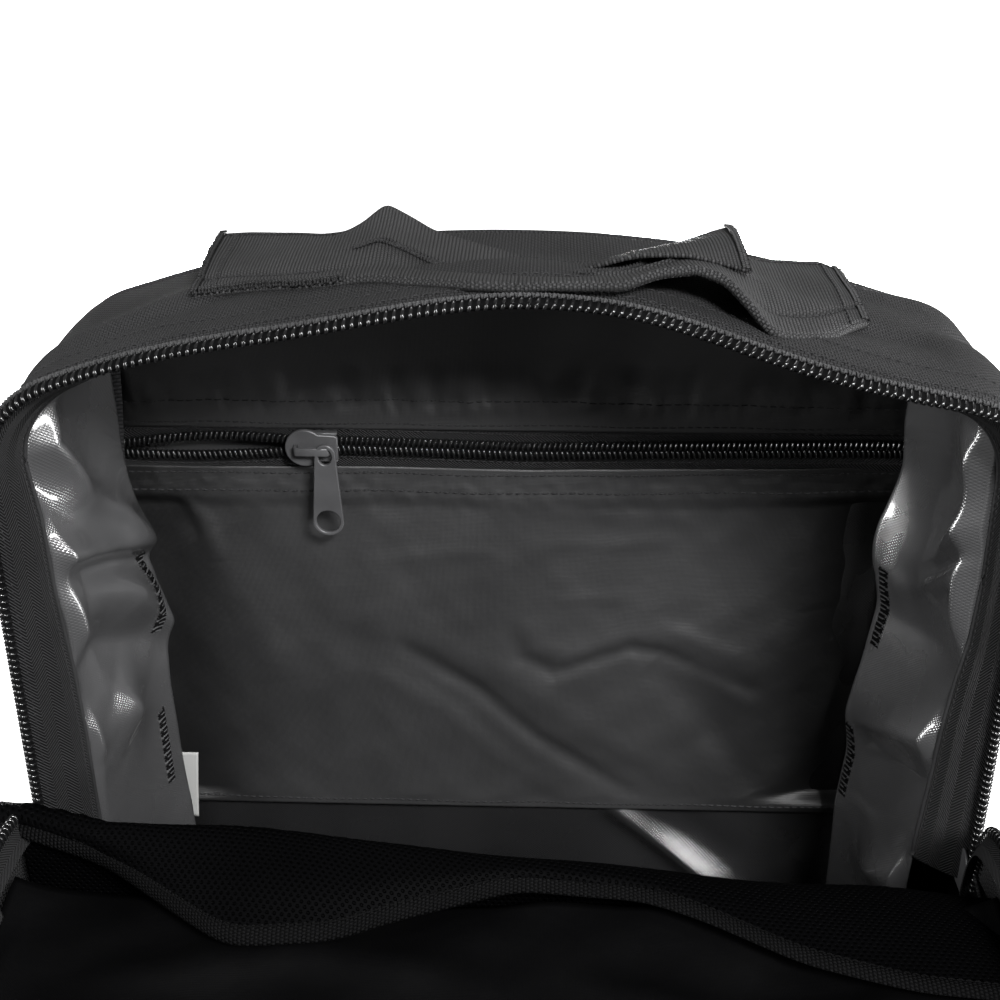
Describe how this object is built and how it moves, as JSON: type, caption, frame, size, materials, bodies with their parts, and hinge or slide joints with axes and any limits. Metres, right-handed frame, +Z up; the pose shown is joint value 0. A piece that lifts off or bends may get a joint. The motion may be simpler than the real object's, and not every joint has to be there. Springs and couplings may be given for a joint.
{
  "type": "trauma backpack",
  "caption": "Soft-sided medical backpack with an arched zipped front that folds open on a fabric hinge, a zipped back-wall pocket, a mesh front pocket and a carry handle.",
  "frame": {"origin": "middle of the underside of the base, which stands on the floor", "axes": "+X to the wearer's left, +Y towards the wearer's back, +Z up"},
  "size_m": [0.335, 0.3238, 0.424],
  "materials": {
    "woven_shell": "coarse black woven polyester",
    "coated_lining": "glossy grey coated cloth",
    "foam": "matte closed-cell foam",
    "pocket_nylon": "thin satin black nylon",
    "webbing": "ribbed black webbing",
    "zip_coil": "glossy black nylon coil",
    "zip_tape": "black herringbone tape",
    "zip_metal": "worn black enamelled zinc",
    "moulded_plastic": "black acetal",
    "mesh": "black knitted mesh",
    "label": "plain white satin tape",
    "loop_tape": "black loop fastener"
  },
  "bodies": {
    "pack": {"back_panel": "woven_shell", "back_foam_sheet": "foam", "back_lining": "coated_lining", "side_panel_left": "coated_lining", "side_panel_right": "coated_lining", "top_panel": "woven_shell", "base_panel": "woven_shell", "lower_front_panel": "woven_shell", "main_coil_pack": "zip_coil", "pocket_top_band": "pocket_nylon", "inner_pocket_panel": "pocket_nylon", "inner_zip_tapes": "zip_tape", "inner_zip_coils": "zip_coil", "care_label": "label", "seam_bindings": "webbing", "side_webbing_left": "webbing", "side_webbing_right": "webbing", "handle_anchors": "webbing", "lower_pocket_shell": "woven_shell", "lower_pocket_coils": "zip_coil", "lower_pocket_webbing": "webbing", "compression_webbing_left": "webbing", "compression_webbing_right": "webbing", "buckle_socket_left": "moulded_plastic", "buckle_socket_right": "moulded_plastic", "shoulder_yoke": "woven_shell", "back_pads": "mesh", "strap_tabs": "webbing", "mesh_pocket_panel": "mesh"},
    "flap": {"flap_panel": "woven_shell", "flap_lining": "pocket_nylon", "flap_gusset_left": "woven_shell", "flap_gusset_right": "woven_shell", "flap_gusset_top": "woven_shell", "main_coil_flap": "zip_coil", "mesh_pocket_top": "mesh", "elastic_binding": "webbing", "upper_pocket_shell": "woven_shell", "upper_pocket_coils": "zip_coil", "id_loop_patch": "loop_tape"},
    "handle": {"handle_grip": "webbing"},
    "main_slider_left": {"main_slider_left": "zip_metal"},
    "main_pull_left": {"main_pull_left": "zip_metal"},
    "main_slider_right": {"main_slider_right": "zip_metal"},
    "main_pull_right": {"main_pull_right": "zip_metal"},
    "inner_slider": {"inner_slider": "zip_metal"},
    "inner_pull": {"inner_pull": "zip_metal"},
    "lower_pocket_slider": {"lower_pocket_slider": "zip_metal"},
    "lower_pocket_pull": {"lower_pocket_pull": "zip_metal"},
    "upper_pocket_slider": {"upper_pocket_slider": "zip_metal"},
    "upper_pocket_pull": {"upper_pocket_pull": "zip_metal"},
    "buckle_plug_left": {"buckle_plug_left": "moulded_plastic"},
    "buckle_plug_right": {"buckle_plug_right": "moulded_plastic"},
    "shoulder_strap_left": {"shoulder_strap_left": "woven_shell"},
    "shoulder_strap_right": {"shoulder_strap_right": "woven_shell"},
    "ladder_lock_left": {"ladder_lock_left": "moulded_plastic"},
    "ladder_lock_right": {"ladder_lock_right": "moulded_plastic"}
  },
  "joints": [
    {"name": "flap_fold", "type": "hinge", "parent": "pack", "child": "flap", "pos_m": [0, -0.0588, 0.225], "axis": [-1, 0, 0], "range_deg": [0, 90]},
    {"name": "handle_lift", "type": "slide", "parent": "pack", "child": "handle", "axis": [0, 0, 1], "range_m": [0, 0.03]},
    {"name": "main_slide_left", "type": "slide", "parent": "pack", "child": "main_slider_left", "axis": [0, 0, 1], "range_m": [0, 0.12]},
    {"name": "main_pull_swing_left", "type": "hinge", "parent": "main_slider_left", "child": "main_pull_left", "pos_m": [0.1573, -0.03, 0.222], "axis": [0, -1, 0], "range_deg": [0, 165]},
    {"name": "buckle_release_left", "type": "slide", "parent": "pack", "child": "buckle_plug_left", "axis": [0, -1, 0], "range_m": [0, 0.022]},
    {"name": "strap_swing_left", "type": "hinge", "parent": "pack", "child": "shoulder_strap_left", "pos_m": [0, 0.068, 0.387], "axis": [1, 0, 0], "range_deg": [0, 20]},
    {"name": "ladder_lock_tilt_left", "type": "hinge", "parent": "shoulder_strap_left", "child": "ladder_lock_left", "pos_m": [0.088, 0.0735, 0.138], "axis": [1, 0, 0], "range_deg": [-8, 35]},
    {"name": "main_slide_right", "type": "slide", "parent": "pack", "child": "main_slider_right", "axis": [0, 0, 1], "range_m": [0, 0.12]},
    {"name": "main_pull_swing_right", "type": "hinge", "parent": "main_slider_right", "child": "main_pull_right", "pos_m": [-0.1573, -0.03, 0.222], "axis": [0, 1, 0], "range_deg": [0, 165]},
    {"name": "buckle_release_right", "type": "slide", "parent": "pack", "child": "buckle_plug_right", "axis": [0, -1, 0], "range_m": [0, 0.022]},
    {"name": "strap_swing_right", "type": "hinge", "parent": "pack", "child": "shoulder_strap_right", "pos_m": [0, 0.068, 0.387], "axis": [1, 0, 0], "range_deg": [0, 20]},
    {"name": "ladder_lock_tilt_right", "type": "hinge", "parent": "shoulder_strap_right", "child": "ladder_lock_right", "pos_m": [-0.088, 0.0735, 0.138], "axis": [1, 0, 0], "range_deg": [-8, 35]},
    {"name": "inner_slide", "type": "slide", "parent": "pack", "child": "inner_slider", "axis": [1, 0, 0], "range_m": [-0.065, 0.2]},
    {"name": "inner_pull_swing", "type": "hinge", "parent": "inner_slider", "child": "inner_pull", "pos_m": [-0.068, 0.0382, 0.335], "axis": [-1, 0, 0], "range_deg": [0, 165]},
    {"name": "lower_pocket_slide", "type": "slide", "parent": "pack", "child": "lower_pocket_slider", "axis": [1, 0, 0], "range_m": [0, 0.19]},
    {"name": "lower_pocket_pull_swing", "type": "hinge", "parent": "lower_pocket_slider", "child": "lower_pocket_pull", "pos_m": [-0.096, -0.1168, 0.18], "axis": [-1, 0, 0], "range_deg": [0, 100]},
    {"name": "upper_pocket_slide", "type": "slide", "parent": "flap", "child": "upper_pocket_slider", "axis": [1, 0, 0], "range_m": [0, 0.158]},
    {"name": "upper_pocket_pull_swing", "type": "hinge", "parent": "upper_pocket_slider", "child": "upper_pocket_pull", "pos_m": [-0.08, -0.2018, 0.187], "axis": [-1, 0, 0], "range_deg": [-80, 80]}
  ]
}
